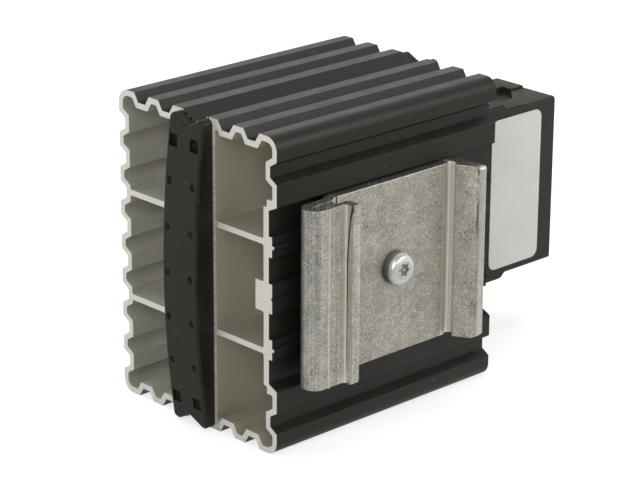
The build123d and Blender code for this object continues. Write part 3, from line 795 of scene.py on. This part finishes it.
def mesh_object(name, mesh):
    """Object of a mesh that is being edited, with its normals outward."""
    bmesh.ops.recalc_face_normals(mesh, faces=mesh.faces)
    data = bpy.data.meshes.new(name)
    mesh.to_mesh(data)
    mesh.free()
    return add_object(name, data)


def dress_piece(piece, material, sharp):
    """Smooth shading with edges sharper than an angle kept, and one material."""
    piece.data.shade_smooth()
    piece.data.set_sharp_from_angle(angle=sharp)
    piece.data.materials.clear()
    piece.data.materials.append(material)


def corner_cutter(mesh, span_y, corner, inward, radius):
    """Adds a prism along Y that leaves a quarter round where it cuts a corner off."""
    (x, z), (to_x, to_z) = corner, inward
    outer_x, outer_z = x - to_x * OVERSHOOT, z - to_z * OVERSHOOT
    section = [(outer_x, outer_z), (outer_x, z + to_z * radius)]
    for step in range(CORNER_STEPS + 1):
        turn = math.pi / 2 * step / CORNER_STEPS
        along, up = radius * (1 - math.cos(turn)), radius * (1 - math.sin(turn))
        section.append((x + to_x * along, z + to_z * up))
    section.append((x + to_x * radius, outer_z))
    ends = [[mesh.verts.new((across, y, up)) for across, up in section] for y in span_y]
    for end in ends:
        mesh.faces.new(end)
    for number in range(len(section)):
        after = (number + 1) % len(section)
        mesh.faces.new((ends[0][number], ends[0][after], ends[1][after], ends[1][number]))


def clip_piece(material):
    """The clip as in the CAD, with the free corners of its nose and of its lip rounded."""
    low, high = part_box("rail_clip")
    solid = bmesh.new()
    solid.from_mesh(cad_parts["rail_clip"].data)
    bmesh.ops.remove_doubles(solid, verts=solid.verts, dist=WELD)
    piece = mesh_object("sprung_clip", solid)

    cutter = bmesh.new()
    for z, inward, nose_radius in ((low.z, 1, NOSE_LOW_RADIUS), (high.z, -1, NOSE_HIGH_RADIUS)):
        corner_cutter(cutter, NOSE_SPAN_Y, (high.x, z), (-1, inward), nose_radius)
        corner_cutter(cutter, LIP_SPAN_Y, (LIP_END_X, z), (-1, inward), LIP_RADIUS)
    corners = mesh_object("corners", cutter)
    cut = piece.modifiers.new("corners", "BOOLEAN")
    cut.operation, cut.solver, cut.object = "DIFFERENCE", "EXACT", corners
    shaped = piece.evaluated_get(bpy.context.evaluated_depsgraph_get())
    piece.data = bpy.data.meshes.new_from_object(shaped)
    piece.modifiers.clear()
    bpy.data.objects.remove(corners)
    dress_piece(piece, material, CLIP_SHARP)
    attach(piece, "root")
    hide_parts("rail_clip")


def screw_rings(shank_end, head_radius):
    """Radius, place along the axis and lobes' depth of each ring, from shank to recess."""
    rings = [(0.0, shank_end, 0), (SHANK_RADIUS, shank_end, 0), (SHANK_RADIUS, 0.0, 0)]
    rings += [(head_radius - FOOT_INSET, 0.0, 0), (head_radius, -FOOT_RISE, 0)]
    rings += [(head_radius, -WALL_HEIGHT + SHOULDER_DROP, 0)]
    for step in range(DOME_STEPS + 1):
        turn = math.radians(DOME_START + DOME_SWEEP * step / DOME_STEPS)
        out = DISC_RADIUS + (head_radius - DISC_RADIUS) * math.cos(turn) ** DOME_POWER
        rise = WALL_HEIGHT + (HEAD_HEIGHT - DISC_RISE - WALL_HEIGHT) * math.sin(turn)
        rings.append((out, -rise, 0))
    rings.append((DISC_RADIUS - DISC_INSET, -HEAD_HEIGHT, 0))
    for share, depth in STAR_PROFILE:
        rings.append((STAR_RADIUS * share, depth * MM - HEAD_HEIGHT, STAR_WAVE * share))
    rings.append((0.0, STAR_DEPTH - HEAD_HEIGHT, 0))
    return rings


def clip_screw_piece(material):
    """Pan head with a straight wall, a domed shoulder, a flat disc and a six-lobed recess."""
    low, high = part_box("clip_screw")
    middle = (low + high) / 2
    face_y = low.y + HEAD_HEIGHT
    mesh = bmesh.new()
    loops = []
    for radius, drop, wave in screw_rings(high.y - face_y, (high.x - low.x) / 2):
        loop = []
        for number in range(SCREW_SIDES if radius else 1):
            angle = 2 * math.pi * number / SCREW_SIDES
            out = radius + wave * math.cos(STAR_LOBES * angle + STAR_TURN)
            x, z = middle.x + out * math.cos(angle), middle.z + out * math.sin(angle)
            loop.append(mesh.verts.new((x, face_y + drop, z)))
        loops.append(loop)
    for first, second in zip(loops, loops[1:]):
        for number in range(SCREW_SIDES):
            after = (number + 1) % SCREW_SIDES
            if len(first) == 1:
                mesh.faces.new((first[0], second[number], second[after]))
            elif len(second) == 1:
                mesh.faces.new((first[number], second[0], first[after]))
            else:
                mesh.faces.new((first[number], second[number], second[after], first[after]))
    piece = mesh_object("pan_head_screw", mesh)
    dress_piece(piece, material, SCREW_SHARP)
    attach(piece, "root")
    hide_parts("clip_screw")


def dress_all():
    """A material for each of the frame's nodes, and the two pieces that replace some."""
    cap = plastic_material("cap_plastic", 28, 0.8, (0.44, 0.56), 5200.0, 0.45 * MM)
    housing = plastic_material(
        "housing_plastic", 38, 2.5, (0.46, 0.58), 4200.0, 0.25 * MM, shaded_hood=True
    )
    block = plastic_material("block_plastic", 60, 0.0, (0.5, 0.6), 3600.0, 0.1 * MM)
    tumbled = tumbled_material()
    head_zinc = zinc_material("head_zinc", screw_head=True)
    bright_zinc = zinc_material("bright_zinc", screw_head=False)
    spring = sheet_material("spring_strip", 168, 2, (0.22, 0.34))
    tinned = sheet_material("tinned_strip", 190, 3, (0.28, 0.42))
    electrode = sheet_material("electrode_strip", 180, 4, (0.3, 0.45))
    wedge = sheet_material("wedge_metal", 176, 3, (0.36, 0.5))
    ceramic = mineral_material("fired_ceramic", 222, 3, 1800.0, 0.5)
    stone = mineral_material("stone_body", 96, 2, 2400.0, 0.6)
    resin = mineral_material("frame_resin", 190, 8, 2000.0, 0.5)

    dress(profile_material(), "radiator_profile")
    dress(cap, "end_cap")
    dress(housing, "terminal_housing", "terminal_cover")
    dress(tumbled, "rail_clip")
    dress(head_zinc, "clip_screw")
    dress(bright_zinc, "earth_screw")
    dress(label_material(), "blank_label")
    dress(block, "terminal_block")
    dress(spring, *[f"clamp_spring_{number}" for number in (1, 2, 3, 4)])
    dress(tinned, "live_bar", "neutral_bar", "earth_bar")
    dress(electrode, "live_electrode", "neutral_electrode")
    dress(wedge, "fixed_wedge", "driven_wedge")
    dress(ceramic, "insulator_front", "insulator_back")
    dress(stone, "heating_stone_near", "heating_stone_far")
    dress(resin, "stone_frame")
    clip_piece(tumbled)
    clip_screw_piece(head_zinc)


def paper_floor():
    """White floor that keeps a soft shadow, and dims towards the viewer in glossy surfaces."""
    bpy.ops.mesh.primitive_plane_add(size=FLOOR_SIZE, location=(0, 0, 0))
    floor = bpy.context.object
    floor.name = "floor"
    tree = material_tree("floor_white")
    path = tree.add("ShaderNodeLightPath").outputs
    seen = tree.most(path["Is Camera Ray"], path["Is Transmission Ray"])
    diffuse = tree.add("ShaderNodeBsdfDiffuse", {"Color": FLOOR_SHOWN}).outputs[0]
    glow = tree.add("ShaderNodeEmission", {"Color": WHITE, "Strength": FLOOR_GLOW}).outputs[0]
    shown = tree.add("ShaderNodeAddShader", {0: diffuse, 1: glow}).outputs[0]
    lit = tree.add("ShaderNodeBsdfDiffuse", {"Color": FLOOR_LIT}).outputs[0]
    reach = tree.span(tree.dot(tree.place, AWAY), -FLOOR_FADE, FLOOR_FADE, NEAR_GLOSS, 1.0)
    sheet = tree.add("ShaderNodeEmission", {"Color": WHITE, "Strength": reach}).outputs[0]
    both = tree.add("ShaderNodeMixShader", {0: seen, 1: lit, 2: shown}).outputs[0]
    both = tree.add("ShaderNodeMixShader", {0: path["Is Glossy Ray"], 1: both, 2: sheet})
    tree.add("ShaderNodeOutputMaterial", {0: both.outputs[0]})
    floor.data.materials.append(tree.owner)


def paper_surround():
    """White surround for the camera, dimmer for glossy surfaces and as a light."""
    tree = Tree(bpy.data.worlds.new("surround"))
    bpy.context.scene.world = tree.owner
    toward = tree.places["Generated"]
    _, _, up = tree.axes(toward)
    path = tree.add("ShaderNodeLightPath").outputs
    seen = tree.most(path["Is Camera Ray"], path["Is Transmission Ray"])
    gloss = tree.times(
        tree.span(tree.dot(toward, AWAY), *SWEEP_FADE, NEAR_GLOSS, 1.0, smooth=False),
        tree.span(up, *OVERHEAD_FADE, 1.0, HIGH_GLOSS),
    )
    strength = tree.mix(seen, tree.mix(path["Is Glossy Ray"], WORLD_LIGHT, gloss), 1.0)
    background = tree.add("ShaderNodeBackground", {0: WHITE, 1: strength})
    tree.add("ShaderNodeOutputWorld", {0: background.outputs[0]})


def lamp(name, place, size, power, glossy):
    data = bpy.data.lights.new(name, "AREA")
    data.shape = "RECTANGLE"
    data.size, data.size_y = size
    data.energy = power
    light = add_object(name, data)
    light.location = place
    light.rotation_mode = "QUATERNION"
    light.rotation_quaternion = (Vector(LAMP_TARGET) - Vector(place)).to_track_quat("-Z", "Y")
    light.visible_glossy = glossy


def camera():
    data = bpy.data.cameras.new("view")
    data.lens = CAMERA_LENS
    data.sensor_width = SENSOR_WIDTH
    data.sensor_fit = "HORIZONTAL"
    data.clip_start, data.clip_end = NEAREST, FARTHEST
    seat = add_object("view", data)
    look = Vector(CAMERA_TARGET) - Vector(CAMERA_PLACE)
    turn = look.to_track_quat("-Z", "Y").to_matrix().to_4x4()
    lean = Matrix.Rotation(CAMERA_LEAN, 4, "Z")
    seat.matrix_world = Matrix.Translation(CAMERA_PLACE) @ turn @ lean
    bpy.context.scene.camera = seat


dress_all()
paper_floor()
paper_surround()
for name, place, size, power, glossy in LAMPS:
    lamp(name, place, size, power, glossy)
camera()

bpy.context.scene.view_settings.view_transform = "Standard"
